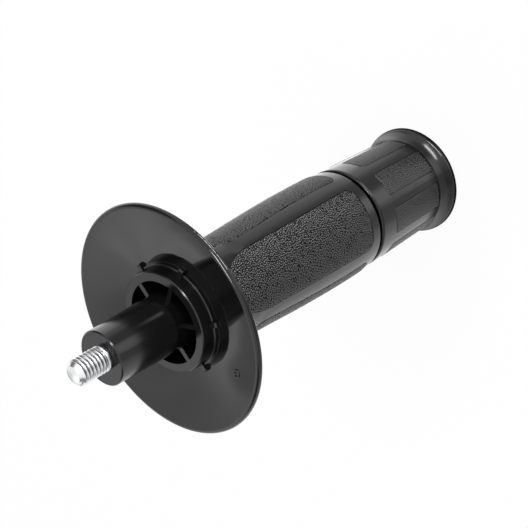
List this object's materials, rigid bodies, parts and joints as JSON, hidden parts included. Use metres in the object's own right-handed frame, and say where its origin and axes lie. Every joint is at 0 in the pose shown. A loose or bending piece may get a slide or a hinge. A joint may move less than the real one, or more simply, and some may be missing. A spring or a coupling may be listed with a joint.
{
  "type": "angle grinder side handle",
  "caption": "Black moulded side handle with grained grip panels, a round dished hand guard, a cored collar and nose, a flared tail cap and a threaded steel stud.",
  "frame": {"origin": "centre of the tail end, on the plane that the handle stands on", "axes": "+Z along the handle's axis from the tail end to the stud, +X through the middle of one grip panel"},
  "size_m": [0.0736, 0.0736, 0.1614],
  "materials": {
    "zinc_steel": "bright zinc-plated steel",
    "grip_plastic": "satin black moulded plastic, with leather grain inside the engraved panels",
    "disc_plastic": "glossy black moulded plastic",
    "cap_plastic": "satin black moulded plastic, with leather grain inside the engraved panels"
  },
  "bodies": {
    "root": {"threaded_stud": "zinc_steel", "handle_body": "grip_plastic", "guard_disc": "disc_plastic", "tail_cap": "cap_plastic"}
  },
  "joints": []
}
